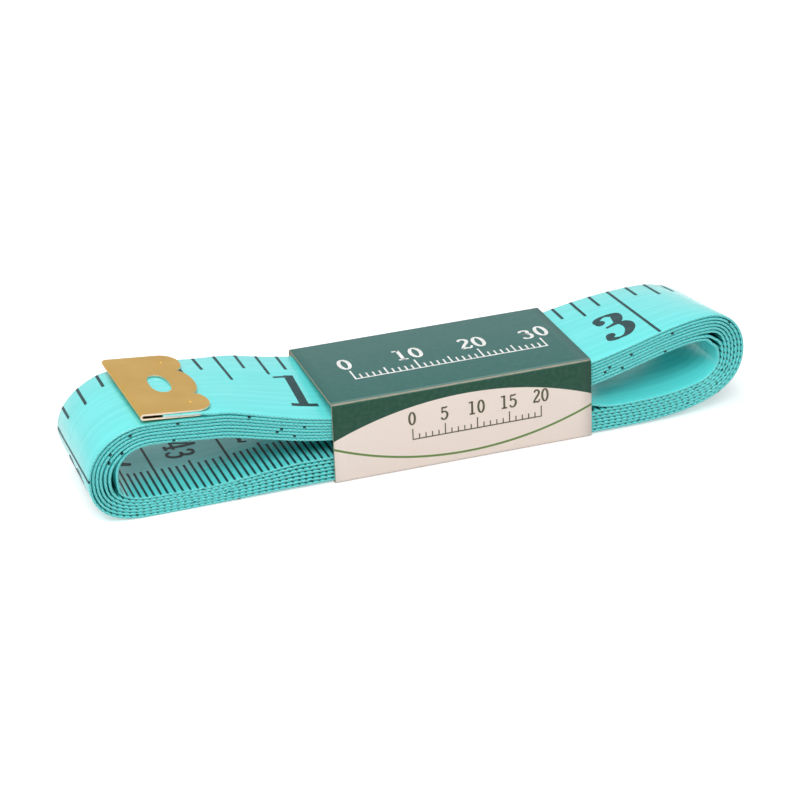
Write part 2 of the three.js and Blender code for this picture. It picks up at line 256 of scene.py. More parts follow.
def makeCamera():
    yaw, pitch, roll = (math.radians(camera[angle]) for angle in ("yaw", "pitch", "roll"))
    aim = Vector((math.sin(yaw) * math.cos(pitch), math.cos(yaw) * math.cos(pitch), -math.sin(pitch)))
    right = Vector((math.cos(yaw), -math.sin(yaw), 0))
    axes = Matrix((right, right.cross(aim), -aim)).transposed() @ Matrix.Rotation(roll, 3, "Z")
    seen = bpy.data.objects.new("camera", bpy.data.cameras.new("camera"))
    bpy.context.scene.collection.objects.link(seen)
    seen.matrix_world = Matrix.Translation(camera["place"]) @ axes.to_4x4()
    seen.data.lens = camera["lens"]
    seen.data.sensor_width = camera["sensor"]
    seen.data.clip_start = camera["nearest"]
    bpy.context.scene.camera = seen


def makeLights():
    for name, (place, aim, width, depth, watts) in lights.items():
        lamp = bpy.data.objects.new(name, bpy.data.lights.new(name, "AREA"))
        bpy.context.scene.collection.objects.link(lamp)
        lamp.data.shape = "RECTANGLE"
        lamp.data.size, lamp.data.size_y, lamp.data.energy = width, depth, watts
        lamp.location = place
        lamp.rotation_mode = "QUATERNION"
        lamp.rotation_quaternion = (Vector(aim) - Vector(place)).to_track_quat("-Z", "Y")
    world = bpy.data.worlds.new("studio")
    bpy.context.scene.world = world
    world.use_nodes = True
    tree = world.node_tree
    strength = between(tree, backgroundRays(tree), 0, 1, worldLight, 1.0)
    background = tree.nodes["Background"]
    background.inputs["Color"].default_value = (1, 1, 1, 1)
    tree.links.new(strength, background.inputs["Strength"])


def backgroundRays(tree):
    rays = node(tree, "ShaderNodeLightPath").outputs
    mirrored = calc(tree, "MAXIMUM", rays["Is Glossy Ray"], rays["Is Transmission Ray"])
    return calc(tree, "MAXIMUM", rays["Is Camera Ray"], mirrored)


floor = {"size": 3.0, "colour": (0.8, 0.8, 0.8), "glow": 0.42, "roughness": 0.9, "shine": 0.1}


def makeFloor():
    bm = bmesh.new()
    bmesh.ops.create_grid(bm, x_segments=1, y_segments=1, size=floor["size"])
    mesh = meshOf(bm, "floor")
    material, tree, shader = newMaterial("white_table")
    shader.inputs["Base Color"].default_value = (*floor["colour"], 1)
    shader.inputs["Roughness"].default_value = floor["roughness"]
    shader.inputs["Specular IOR Level"].default_value = floor["shine"]
    shader.inputs["Emission Color"].default_value = (1, 1, 1, 1)
    glow = calc(tree, "MULTIPLY", backgroundRays(tree), floor["glow"])
    tree.links.new(glow, shader.inputs["Emission Strength"])
    mesh.materials.append(material)
    table = bpy.data.objects.new("floor", mesh)
    bpy.context.scene.collection.objects.link(table)


bpy.context.scene.view_settings.view_transform = "Standard"
makeCamera()
makeLights()
makeFloor()
print("camera, lights and floor made")


# The tape's route. The strip and its print are drawn flat, with x along the tape from the
# scales' zero, y across it, and z up from its outer face, and are then laid along this line.

def turnLine(edge):
    points = []
    for start, end in zip(turnPlaces, turnPlaces[1:] + turnPlaces[:1]):
        p, q = np.array(start[edge]), np.array(end[edge])
        after, before = start[5], end[4]
        if edge == 2:
            after = farHandles.get(start[0], (0, after))[1]
            before = farHandles.get(end[0], (before, 0))[0]
        handles = p + turned(start[3]) * after, q - turned(end[3]) * before
        points.append(bezier(p, *handles, q, winding["steps"]))
    points = np.vstack(points)
    along = np.roll(points, -1, 0) - np.roll(points, 1, 0)
    along /= np.linalg.norm(along, axis=1)[:, None]
    return points, np.stack([-along[:, 1], along[:, 0]], 1)


def turnDepth(turn, place):
    level = np.maximum(turn + smooth((place - winding["stepIn"][0]) / np.ptp(winding["stepIn"])), 0)
    depth = np.interp(place, list(turnPitch), list(turnPitch.values())) * level
    for after, at, reach, amount in turnGaps:
        depth += amount * smooth(1 - np.abs(place - at) / reach) * np.clip(level - after, 0, 1)
    return depth


def windingLine(edge, lifts):
    points, outward = turnLine(edge)
    steps = winding["steps"]
    place = np.arange(len(points)) / steps
    outerStart = np.argmax((place > winding["startAfter"]) & (points[:, 0] > tape["outerEnd"]))
    line = []
    for turn in range(-1, tape["turns"] + 1):
        depth = turnDepth(turn, place)
        first, last = 0, None
        if turn < 0:
            depth = depth - np.interp(points[:, 0], list(lifts), list(lifts.values()))
            first = outerStart
        if turn == tape["turns"]:
            last = winding["lastFoot"] * steps + 1
        line.append((points - outward * depth[:, None])[first:last])
    foot = line[-1][-1]
    level = np.array([winding["tailTurn"], winding["tailLift"]])
    tip = np.array([winding["tailEnd"], winding["tailLift"]])
    back = np.array([-winding["tailHandle"], 0])
    line.append(bezier(foot, foot + back, level - back, level, winding["tailSteps"])[1:])
    line.append(bezier(level, level + back, level + 2 * back, tip, winding["levelSteps"]))
    return np.vstack(line + [[tip]])


def facing(line):
    along = np.gradient(line, axis=0)
    along /= np.linalg.norm(along, axis=1)[:, None]
    return np.stack([-along[:, 1], along[:, 0]], 1)


def lengthsOf(line, side):
    core = line - side * tape["thickness"] / 2
    return np.concatenate([[0], np.cumsum(np.linalg.norm(np.diff(core, axis=0), axis=1))])


nearLine = windingLine(1, endLift["near"])
farLine = windingLine(2, endLift["far"])
count = min(len(nearLine), len(farLine))
nearLine, farLine = nearLine[-count:], farLine[-count:]
nearFacing, farFacing = facing(nearLine), facing(farLine)
nearLength, farLength = lengthsOf(nearLine, nearFacing), lengthsOf(farLine, farFacing)
# The scales' zero lies in the first half stretch.
opening = slice(0, winding["steps"] // 2)
nearLength -= np.interp(tape["scaleStart"], nearLine[opening, 0], nearLength[opening])
# The tape's two edges are equally long, so the far one's lengths are fitted to the near one's at
# each passing of the left mouth
roundPoints = len(turnPlaces) * winding["steps"]
pointsAfterMouth = winding["lastFoot"] * winding["steps"] + winding["tailSteps"] + winding["levelSteps"] + 1
lastMouth = count - pointsAfterMouth
fitted = [0, *range(lastMouth % roundPoints, lastMouth + 1, roundPoints), count - 1]
farLength = np.interp(farLength, farLength[fitted], nearLength[fitted])
tapeStart, tapeEnd = nearLength[0] + tape["endTrim"], nearLength[-1]


def wander(along):
    share = (along - tapeStart) / (tapeEnd - tapeStart)
    swaying = sum(size * np.sin(along / reach + reach) for size, reach in tape["sway"])
    return tape["drift"] * (2 * share - 1) + swaying


def layOnRoute(flat):
    along, across, height = flat.T
    along = along - across * np.interp(along, list(tape["lean"]), list(tape["lean"].values()))
    share = np.clip(across / tape["width"] + 0.5, 0, 1)

    def fromEdges(near, far):
        return np.interp(along, nearLength, near) * (1 - share) + np.interp(along, farLength, far) * share

    x, z = fromEdges(nearLine[:, 0], farLine[:, 0]), fromEdges(nearLine[:, 1], farLine[:, 1])
    outX, outZ = fromEdges(nearFacing[:, 0], farFacing[:, 0]), fromEdges(nearFacing[:, 1], farFacing[:, 1])
    size = np.hypot(outX, outZ)
    return np.stack([x + outX / size * height, across + wander(along), z + outZ / size * height], 1)


def bendMesh(mesh):
    flat = np.empty(len(mesh.vertices) * 3, np.float32)
    mesh.vertices.foreach_get("co", flat)
    attribute = mesh.attributes.new("flat", "FLOAT_VECTOR", "POINT")
    attribute.data.foreach_set("vector", flat)
    laid = layOnRoute(flat.astype(float).reshape(-1, 3))
    mesh.vertices.foreach_set("co", laid.astype(np.float32).ravel())


def edgesAlong(bm, axis, least):
    return [edge for edge in bm.edges if abs(edge.verts[0].co[axis] - edge.verts[1].co[axis]) > least]


def tapeStrip(start, end, name):
    bm = bmesh.new()
    bmesh.ops.create_cube(bm, size=1)
    bmesh.ops.scale(bm, verts=bm.verts, vec=(end - start, tape["width"], tape["thickness"]))
    bmesh.ops.translate(bm, verts=bm.verts, vec=((start + end) / 2, 0, -tape["thickness"] / 2))
    bmesh.ops.bevel(bm, geom=edgesAlong(bm, 0, 1), offset=tape["rim"], segments=tape["rimSteps"],
                    affect="EDGES", profile=0.5, material=-1)
    cuts = int((end - start) / tape["step"])
    bmesh.ops.subdivide_edges(bm, edges=edgesAlong(bm, 0, 1), cuts=cuts, use_grid_fill=False)
    crossEdges = edgesAlong(bm, 1, tape["width"] / 2)
    bmesh.ops.subdivide_edges(bm, edges=crossEdges, cuts=tape["crossCuts"], use_grid_fill=True)
    bmesh.ops.recalc_face_normals(bm, faces=bm.faces)
    mesh = meshOf(bm, name)
    bendMesh(mesh)
    return mesh


# Materials of the tape and its ink. Colours are linear, and places are in the flat tape's millimetres.

coating = {
    # The rim colour is a painted highlight: the edges' corners are made lighter than the face, where they
    # catch the light.
    "face": (0.130, 0.76, 0.75), "streak": (0.155, 0.81, 0.81), "rim": (0.25, 0.90, 0.88),
    "streakSpread": (0.04, 1.1, 0.0),      # how fast the streaks change along and across the tape
    "side": (0.06, 0.01),                  # where the face ends and the cut side begins, from the side
    "core": (0.10, 0.14),                  # the woven core's reach from the middle of the thickness
    "weave": (0.08, 0.49, 0.47), "weaveLight": (0.25, 0.82, 0.80),
    "thread": 0.31,                        # half the spacing of the core's threads
    "threadBlend": 0.04, "threadContrast": 0.9,
    "fray": 2.6, "fraySpread": (2.3, 2.3, 9.0),
    # The side's pale colour inside the first clip is a painted highlight, and it fades out over the given x.
    "clipSideHighlight": (0.60, 0.76, 0.73), "clipSideHighlightEnd": (4.6, 5.4),   # the side inside the first clip
    "gloss": 0.16, "glossChange": 0.06, "glossSpread": (0.3, 2.0, 0.0), "coreRoughness": 0.62,
    "shine": 0.5,
    "ripple": 0.000010, "rippleSpread": (2.6, 5.2, 0.0), "threadDepth": 0.00004,
}


def coatedTape():
    material, tree, shader = newMaterial("coated_tape")
    flat = node(tree, "ShaderNodeAttribute", attribute_name="flat").outputs["Vector"]
    parts = node(tree, "ShaderNodeSeparateXYZ", {"Vector": flat}).outputs
    fromMiddle = calc(tree, "ABSOLUTE", parts["Y"])
    sideFrom, sideTo = coating["side"]
    edge = between(tree, fromMiddle, tape["width"] / 2 - sideFrom, tape["width"] / 2 - sideTo)
    fromCore = calc(tree, "ABSOLUTE", calc(tree, "ADD", parts["Z"], tape["thickness"] / 2))
    core = calc(tree, "MULTIPLY", edge, between(tree, fromCore, *coating["core"], 1.0, 0.0))
    streaks = noise(tree, flat, coating["streakSpread"])
    face = mixed(tree, between(tree, streaks, 0.35, 0.7), coating["face"], coating["streak"])
    # The threads are a wave along the tape, and its upper and lower halves are set against each other.
    wave = calc(tree, "SINE", calc(tree, "MULTIPLY", parts["X"], math.pi / coating["thread"]))
    upper = calc(tree, "ADD", parts["Z"], tape["thickness"] / 2)
    side = between(tree, upper, -coating["threadBlend"], coating["threadBlend"], -1.0, 1.0)
    frayed = calc(tree, "SUBTRACT", noise(tree, flat, coating["fraySpread"], 2.0), 0.5)
    loose = calc(tree, "MULTIPLY", frayed, coating["fray"])
    threads = calc(tree, "ADD", calc(tree, "MULTIPLY", wave, side), loose)
    contrast = coating["threadContrast"]
    weave = mixed(tree, between(tree, threads, -contrast, contrast), coating["weave"], coating["weaveLight"])
    # Painted highlight: the face goes over into the lighter rim colour at the tape's edges.
    rimHighlighted = mixed(tree, edge, face, coating["rim"])
    # Painted highlight on the tape's side where it lies in the first clip.
    highlightInClip = calc(tree, "MULTIPLY", edge, between(tree, parts["X"], *coating["clipSideHighlightEnd"], 1.0, 0.0))
    cloth = mixed(tree, core, rimHighlighted, weave)
    tree.links.new(mixed(tree, highlightInClip, cloth, coating["clipSideHighlight"]), shader.inputs["Base Color"])
    change = calc(tree, "MULTIPLY", noise(tree, flat, coating["glossSpread"]), coating["glossChange"])
    gloss = calc(tree, "ADD", coating["gloss"], change)
    tree.links.new(mixed(tree, core, gloss, 3 * (coating["coreRoughness"],)), shader.inputs["Roughness"])
    shader.inputs["Specular IOR Level"].default_value = coating["shine"]
    rippled = bump(tree, noise(tree, flat, coating["rippleSpread"], 2.0), coating["ripple"])
    woven = bump(tree, calc(tree, "MULTIPLY", threads, core), coating["threadDepth"], 1.0, rippled)
    tree.links.new(woven, shader.inputs["Normal"])
    return material


inkFinish = {
    "patches": 900.0, "lighter": 1.35, "lift": 0.01,   # how fine the lighter patches are, and how light
    "grain": 0.000004,
    "thinFrom": 0.28, "thinTo": 0.15,                  # where the ink thins, from the tape's side
    "inner": (-0.20, -0.12),                           # the heights that tell the inner face
}


def plainInk(name, colour, roughness, shine=0.5, thinned=None):
    material, tree, shader = newMaterial(name)
    place = node(tree, "ShaderNodeTexCoord").outputs["Object"]
    patches = noise(tree, place, 3 * (inkFinish["patches"],), 2.0)
    lighter = tuple(min(1, part * inkFinish["lighter"] + inkFinish["lift"]) for part in colour)
    covered = mixed(tree, between(tree, patches, 0.4, 0.8), colour, lighter)
    if thinned:
        # The centimetre scale's ink is thin where it runs round the tape's edges.
        flat = node(tree, "ShaderNodeAttribute", attribute_name="flat").outputs["Vector"]
        parts = node(tree, "ShaderNodeSeparateXYZ", {"Vector": flat}).outputs
        thinFrom, thinTo = (tape["width"] / 2 - inkFinish[end] for end in ("thinFrom", "thinTo"))
        rounding = between(tree, calc(tree, "ABSOLUTE", parts["Y"]), thinFrom, thinTo)
        innerFace = between(tree, parts["Z"], *inkFinish["inner"], 1.0, 0.0)
        covered = mixed(tree, calc(tree, "MULTIPLY", rounding, innerFace), covered, thinned)
    tree.links.new(covered, shader.inputs["Base Color"])
    shader.inputs["Roughness"].default_value = roughness
    shader.inputs["Specular IOR Level"].default_value = shine
    tree.links.new(bump(tree, patches, inkFinish["grain"]), shader.inputs["Normal"])
    return material


tapeFinish = coatedTape()
tapeInk = plainInk("scale_ink", (0.010, 0.043, 0.048), 0.5, 0.25, thinned=(0.03, 0.26, 0.24))
woundStrip = tapeStrip(tape["split"] + tape["joinGap"], tapeEnd, "tape_wound")
coilStrip = addPiece(woundStrip, "tape_wound", tapeFinish)
looseStrip = tapeStrip(tapeStart, tape["split"], "tape_loose_end")
endStrip = addPiece(looseStrip, "tape_loose_end", tapeFinish)
print("tape made,", round(tapeEnd - tapeStart, 1), "mm long")


# The printed figures, as pen strokes that are thick where they run up and down. Each stroke is a
# smooth line through points in a box one unit high; a dot is a round terminal.
figures = {
    "0": [("ring", (0.29, 0.5), (0.205, 0.46))],
    "1": [("stem", (0.25, 0.985), (0.25, 0.02)), ("thin", (0.30, 0.95), (0.16, 0.94), (0.0, 0.915)),
          ("foot", (0.05, 0.04), (0.46, 0.04))],
    "2": [("line", (0.13, 0.80), (0.17, 0.92), (0.29, 0.975), (0.45, 0.86), (0.43, 0.64), (0.22, 0.34),
           (0.05, 0.06)),
          ("bar", (0.05, 0.05), (0.25, 0.085), (0.42, 0.05), (0.53, 0.24)), ("dot", (0.14, 0.77))],
    "3": [("line", (0.01, 0.63), (0.05, 0.735), (0.19, 0.79), (0.335, 0.725), (0.345, 0.57), (0.28, 0.46),
           (0.10, 0.405)),
          ("line", (0.115, 0.41), (0.315, 0.415), (0.415, 0.30), (0.405, 0.14), (0.31, 0.01), (0.18, -0.02),
           (0.055, 0.03), (0.015, 0.12)),
          ("dot", (0.07, 0.615)), ("dot", (0.075, 0.135))],
    "4": [("thin", (0.37, 0.98), (0.02, 0.28), (0.02, 0.28)), ("thin", (0.02, 0.27), (0.56, 0.27)),
          ("stem", (0.39, 0.985), (0.39, 0.02)), ("foot", (0.22, 0.04), (0.55, 0.04))],
    "5": [("bar", (0.12, 0.93), (0.3, 0.90), (0.49, 0.95)), ("thin", (0.12, 0.95), (0.10, 0.52)),
          ("line", (0.10, 0.52), (0.25, 0.62), (0.44, 0.52), (0.49, 0.30), (0.38, 0.07), (0.22, 0.02),
           (0.09, 0.10), (0.07, 0.2)),
          ("dot", (0.10, 0.2))],
    "6": [("line", (0.47, 0.80), (0.42, 0.93), (0.31, 0.975), (0.15, 0.84), (0.08, 0.45), (0.14, 0.12),
           (0.29, 0.02), (0.45, 0.12), (0.49, 0.31), (0.42, 0.53), (0.29, 0.6), (0.13, 0.47), (0.10, 0.35)),
          ("dot", (0.45, 0.79))],
    "7": [("bar", (0.06, 0.76), (0.10, 0.92), (0.3, 0.90), (0.53, 0.96)),
          ("stem", (0.53, 0.95), (0.36, 0.6), (0.26, 0.3), (0.25, 0.03))],
    "8": [("ring", (0.29, 0.755), (0.15, 0.215)), ("ring", (0.29, 0.27), (0.195, 0.25))],
    "9": [("line", (0.11, 0.20), (0.16, 0.07), (0.27, 0.025), (0.43, 0.16), (0.50, 0.55), (0.44, 0.88),
           (0.29, 0.98), (0.13, 0.88), (0.09, 0.69), (0.16, 0.47), (0.29, 0.4), (0.45, 0.53), (0.48, 0.65)),
          ("dot", (0.13, 0.21))],
}
figureMiddle = 0.29   # where a figure's middle lies in that box

# The strokes' widths, with a bar's as a share of the thickest; how late a line swells as it grows
# steep; how short its tapered ends are; and how finely the mesh is divided
bookPen = {
    "thick": 0.175, "thin": 0.047, "stem": 0.142, "foot": 0.085, "bar": 0.75, "dot": 0.08,
    "swell": 1.2, "taper": 5, "steps": 7, "across": 2, "dotSides": 12,
}
plainPen = {
    "thick": 0.16, "thin": 0.10, "stem": 0.15, "foot": 0.10, "bar": 0.75, "dot": 0.0,
    "swell": 1.6, "taper": 5, "steps": 4, "across": 1, "dotSides": 12,
}


def smoothLine(points, steps):
    points = np.array([points[0], *points, points[-1]], float)
    line = []
    for a, b, c, d in zip(points, points[1:], points[2:], points[3:]):
        for share in np.linspace(0, 1, steps, endpoint=False):
            line.append(0.5 * (2 * b + (c - a) * share + (2 * a - 5 * b + 4 * c - d) * share ** 2
                               + (3 * b - a - 3 * c + d) * share ** 3))
    return np.array(line + [points[-1]])


def strokeLine(kind, points, steps):
    if kind == "ring":
        (x, y), (halfWide, halfHigh) = points
        angles = np.linspace(0, 2 * math.pi, 4 * steps + 1)
        return np.stack([x + halfWide * np.cos(angles), y + halfHigh * np.sin(angles)], 1)
    if len(points) == 2:
        return np.linspace(*np.array(points, float), steps + 1)
    return smoothLine(points, steps)


def strokeHalfWidths(kind, along, pen):
    steep = np.abs(along[:, 1]) ** pen["swell"]
    least, most = pen["thin"], pen["thick"]
    if kind in ("thin", "stem", "foot"):
        least = most = pen[kind]
    if kind == "bar":
        steep = 1 - steep
        most = pen["bar"] * most
    if kind == "line":
        toEnd = np.minimum(np.arange(len(along)), np.arange(len(along))[::-1]) / len(along)
        steep = steep * np.clip(pen["taper"] * toEnd, 0, 1)
    return (least + (most - least) * steep) / 2


def penStroke(bm, kind, points, pen):
    line = strokeLine(kind, points, pen["steps"])
    along = np.gradient(line, axis=0)
    if kind == "ring":
        along[0] = along[-1] = line[1] - line[-2]
    along /= np.linalg.norm(along, axis=1)[:, None] + 1e-9
    half = strokeHalfWidths(kind, along, pen)
    before = set(bm.verts)
    bmesh.ops.create_grid(bm, x_segments=len(line) - 1, y_segments=pen["across"], size=1)
    for vert in [vert for vert in bm.verts if vert not in before]:
        index = round((vert.co.x + 1) / 2 * (len(line) - 1))
        side = Vector((-along[index][1], along[index][0])) * half[index] * vert.co.y
        vert.co = (line[index][0] + side.x, line[index][1] + side.y, 0)


def figureMesh(figure, pen):
    bm = bmesh.new()
    for kind, *points in figures[figure]:
        if kind != "dot":
            penStroke(bm, kind, points, pen)
        elif pen["dot"]:
            place = Matrix.Translation((*points[0], 0))
            bmesh.ops.create_circle(bm, cap_ends=True, segments=pen["dotSides"], radius=pen["dot"],
                                    matrix=place)
    bmesh.ops.remove_doubles(bm, verts=bm.verts, dist=0.0005)
    flatFaces = [face for face in bm.faces if face.calc_area() > 1e-9]
    for face in flatFaces:
        if face.normal.z < 0:
            face.normal_flip()
    # One unit thick, and scaled to the ink's thickness when it is printed
    bmesh.ops.solidify(bm, geom=flatFaces, thickness=1)
    low = min(vert.co.z for vert in bm.verts)
    bmesh.ops.translate(bm, verts=bm.verts, vec=(0, 0, -low - scales["sunk"]))
    return meshOf(bm, "figure " + figure)


def addCopy(bm, template, matrix):
    copy = template.copy()
    copy.transform(matrix)
    if matrix.determinant() < 0:
        copy.flip_normals()
    bm.from_mesh(copy)
    bpy.data.meshes.remove(copy)


# The scales. Inches stand on the outer face along the far edge, and centimetres on the inner face
# along the near edge. All sizes are in millimetres.
scales = {
    "inch": 25.4, "inches": 60, "millimetres": 1500,
    "inchTicks": {4: 8.4, 2: 6.1, 6: 6.1, 1: 4.4, 3: 4.4, 5: 4.4, 7: 4.4},   # reach, by eighths
    "lineReach": 19.83,        # how far an inch's own line runs across the tape
    "inchStroke": 0.45,
    "inchFigure": 9.95,        # height of an inch's figure
    "inchFigureFoot": -6.2,    # where it stands, from the tape's middle
    "inchFigureLead": 1.15,    # from the figure to its line
    "inchAdvance": 5.35,       # from one figure of a number to the next
    "slant": 0.095,            # how far a figure leans over, as a share of its height
    "millimetreTick": 8.2, "fiveTick": 9.4, "millimetreStroke": 0.36,
    "figure": 4.9, "figureWide": 4.4,         # height and width of a centimetre's figure
    "lastFigure": 1.7, "figureRow": 3.2,      # the last figure's place, and from one to the next
    "ink": 0.03, "sunk": 0.2,   # the ink's thickness, and the share of it that lies in the tape
    "overEdge": 0.24,           # how far an inch line runs down the tape's edges
    "cleanInches": 3,           # the first lines, which stay off the edges
    # what is taken from a mark's length to find its place on the route
    "inchSlip": {
        0: -1.0, 12.7: -1.07, 22: -1.23, 66: -1.2, 77: -1.0, 83: -0.95, 160: -0.1, 205: -0.1, 208: -0.33,
        212: -0.65, 228.6: -2.2, 280: -1.6, 432: -3.5, 660: -5.2, 870: -6.9, 1270: -9.0, 1460: -10.9,
    },
    "centimetreSlip": {0: -1.0, 80: -1.0, 230: -0.7, 1420: -7.0, 1430: -8.0},
}


def printed(mark, slip):
    return mark - float(np.interp(mark, list(scales[slip]), list(scales[slip].values())))


# The line that a mark's ink follows, as places across the tape and down from its face. It starts
# on the edge's corner, or with overEdge lower down on the edge, and stops at its reach, or with
# two ends runs round the other edge too.
def inkChain(reach, overEdge, ends):
    corner = tape["rim"]
    chain = [(0.0, scales["overEdge"])] if overEdge else []
    for degrees in (0, 30, 60, 90) if overEdge else (45, 67.5, 90):
        angle = math.radians(degrees)
        chain.append((corner - corner * math.cos(angle), corner - corner * math.sin(angle)))
    third = (tape["width"] - 2 * corner) / 3
    thirds = [(corner + third, 0.0), (corner + 2 * third, 0.0)]
    if ends == 2:
        return chain + thirds + [(tape["width"] - across, down) for across, down in reversed(chain)]
    return chain + [place for place in thirds if place[0] < reach] + [(reach, 0.0)]


def pullOut(bm, edges, move):
    made = bmesh.ops.extrude_edge_only(bm, edges=edges)["geom"]
    moved = [part for part in made if isinstance(part, bmesh.types.BMVert)]
    bmesh.ops.translate(bm, verts=moved, vec=move)


def faceUp(bm, measure):
    bmesh.ops.recalc_face_normals(bm, faces=bm.faces)
    if max(bm.faces, key=measure).normal.z < 0:
        bmesh.ops.reverse_faces(bm, faces=bm.faces)


def faceSize(face):
    return face.calc_area()


def faceHeight(face):
    return face.calc_center_median().z


def tickMesh(reach, stroke, overEdge=False, ends=1):
    bm = bmesh.new()
    verts = [bm.verts.new((-stroke / 2, across, -down)) for across, down in inkChain(reach, overEdge, ends)]
    edges = [bm.edges.new(pair) for pair in zip(verts, verts[1:])]
    pullOut(bm, edges, (stroke, 0, 0))
    faceUp(bm, faceSize)
    for vert in bm.verts:
        vert.co += vert.normal * scales["ink"] * (1 - scales["sunk"])
    bmesh.ops.solidify(bm, geom=list(bm.faces), thickness=scales["ink"])
    bmesh.ops.recalc_face_normals(bm, faces=bm.faces)
    return meshOf(bm, "tick")


halfTape = tape["width"] / 2
# Puts what is drawn from an edge inwards on the inch face, and on the centimetre face
onInchFace = Matrix.Translation((0, halfTape, 0)) @ Matrix.Diagonal((1, -1, 1, 1))
onCentimetreFace = Matrix.Translation((0, -halfTape, -tape["thickness"])) @ Matrix.Diagonal((1, 1, -1, 1))


def inchMarks(add):
    ticks = {eighth: tickMesh(reach, scales["inchStroke"]) for eighth, reach in scales["inchTicks"].items()}
    ticks[8] = tickMesh(scales["lineReach"], scales["inchStroke"])
    wrapped = tickMesh(tape["width"], scales["inchStroke"], overEdge=True, ends=2)
    glyphs = {figure: figureMesh(figure, bookPen) for figure in figures}
    for eighths in range(1, scales["inches"] * 8 + 1):
        tick = ticks[(eighths - 1) % 8 + 1]
        if eighths % 8 == 0 and eighths > 8 * scales["cleanInches"]:
            tick = wrapped
        along = printed(eighths * scales["inch"] / 8, "inchSlip")
        if along < tapeEnd:
            add(tick, along, onInchFace)
    size = Matrix.Diagonal((scales["inchFigure"], scales["inchFigure"], scales["ink"], 1))
    size[0][1] = scales["slant"] * scales["inchFigure"]
    size[0][3] = -size[0][1] / 2
    standing = Matrix.Translation((0, scales["inchFigureFoot"], 0)) @ size
    for number in range(1, scales["inches"] + 1):
        place = number * scales["inch"] - scales["inchFigureLead"]
        for back, figure in enumerate(reversed(str(number))):
            left = place - (back + 1) * scales["inchAdvance"]
            add(glyphs[figure], printed(left, "inchSlip"), standing)


def centimetreMarks(add):
    small = tickMesh(scales["millimetreTick"], scales["millimetreStroke"])
    five = tickMesh(scales["fiveTick"], scales["millimetreStroke"])
    line = tickMesh(tape["width"], scales["millimetreStroke"], ends=2)
    glyphs = {figure: figureMesh(figure, plainPen) for figure in figures}
    for mark in range(1, scales["millimetres"] + 1):
        chosen = line if mark % 10 == 0 else five if mark % 5 == 0 else small
        add(chosen, printed(mark, "centimetreSlip"), onCentimetreFace)
    # The figures are read along the tape's width, with their tops towards the zero, and each
    # number stands in the middle of its centimetre.
    size = Matrix.Diagonal((scales["figureWide"], scales["figure"], scales["ink"], 1))
    reading = Matrix(((0, -1, 0, 0), (-1, 0, 0, 0), (0, 0, -1, 0), (0, 0, 0, 1)))
    for number in range(1, scales["millimetres"] // 10 + 1):
        along = printed(number * 10 - 5, "centimetreSlip")
        for back, figure in enumerate(reversed(str(number))):
            row = scales["lastFigure"] + back * scales["figureRow"] + figureMiddle * scales["figureWide"]
            place = Matrix.Translation((scales["figure"] / 2, row, -tape["thickness"]))
            add(glyphs[figure], along, place @ reading @ size)


def printScales(marks, name):
    wound, loose = bmesh.new(), bmesh.new()

    def add(template, along, matrix):
        strip = loose if along < tape["split"] else wound
        addCopy(strip, template, Matrix.Translation((along, 0, 0)) @ matrix)

    marks(add)
    pieces = []
    for bm, where in ((wound, "wound"), (loose, "loose_end")):
        mesh = meshOf(bm, name + "_" + where)
        bendMesh(mesh)
        pieces.append(addPiece(mesh, name + "_" + where, tapeInk))
    return pieces


inchWound, inchLoose = printScales(inchMarks, "inch_scale")
centimetreWound, centimetreLoose = printScales(centimetreMarks, "centimetre_scale")
print("scales printed")


# The brass clips: a lobed blank with an eye and two punched dimples, folded over the tape's end.
# The blank is drawn flat, with its fold at x = 0 and the upper leaf to the right.

clip = {
    "thickness": 0.28, "width": 20.4,
    "foldRadius": 0.335, "foldCuts": 11,
    "foldGuard": 0.56,           # the cuts beside the fold, from its middle, as a share of its length
    "reach": 10.95, "lowerReach": 8.9,   # lengths of the upper and the lower leaf
    "shoulder": 2.6, "lobe": 1.65, "middleWidth": 8.5, "lobeAngle": 84, "cornerSteps": 8,
    "eye": (5.75, 1.5, 3.1), "eyeSquareness": 2.4, "eyeSteps": 36,    # x, half length, half width
    "dimple": (8.05, 7.3, 0.42, 0.16), "dimpleSteps": 10,             # x, y, radius, depth
    "dimpleRings": ((0.62, 0.7), (0.2, 0.3)),   # each ring's share of the last radius, and of the depth
    "dimpleSearch": 1.2,         # how far from its middle a dimple's edges are looked for, in radii
    "rounding": 0.045, "roundingSteps": 2, "roundingAngle": 50,
    "firstPlace": (-47.62, 0.0, 15.66), "firstTilt": 6.5, "firstYaw": 2.9, "firstRoll": 0.58,
    "lastPlace": (8.15, 0.0, 5.195),
}


def arc(x, y, halfX, halfY, start, end, steps, squareness=2):
    turn = np.radians(np.linspace(start, end, steps + 1))
    far, wide = np.cos(turn), np.sin(turn)
    far, wide = (np.sign(part) * np.abs(part) ** (2 / squareness) for part in (far, wide))
    return [(x + halfX * a, y + halfY * b, 0) for a, b in zip(far, wide)]


def roundHole(x, y, halfX, halfY, steps, squareness=2):
    return arc(x, y, halfX, halfY, 0, 360 - 360 / steps, steps - 1, squareness)


def addLoop(curve, points):
    spline = curve.splines.new("POLY")
    spline.points.add(len(points) - 1)
    for point, place in zip(spline.points, points):
        point.co = (*place, 1)
    spline.use_cyclic_u = True


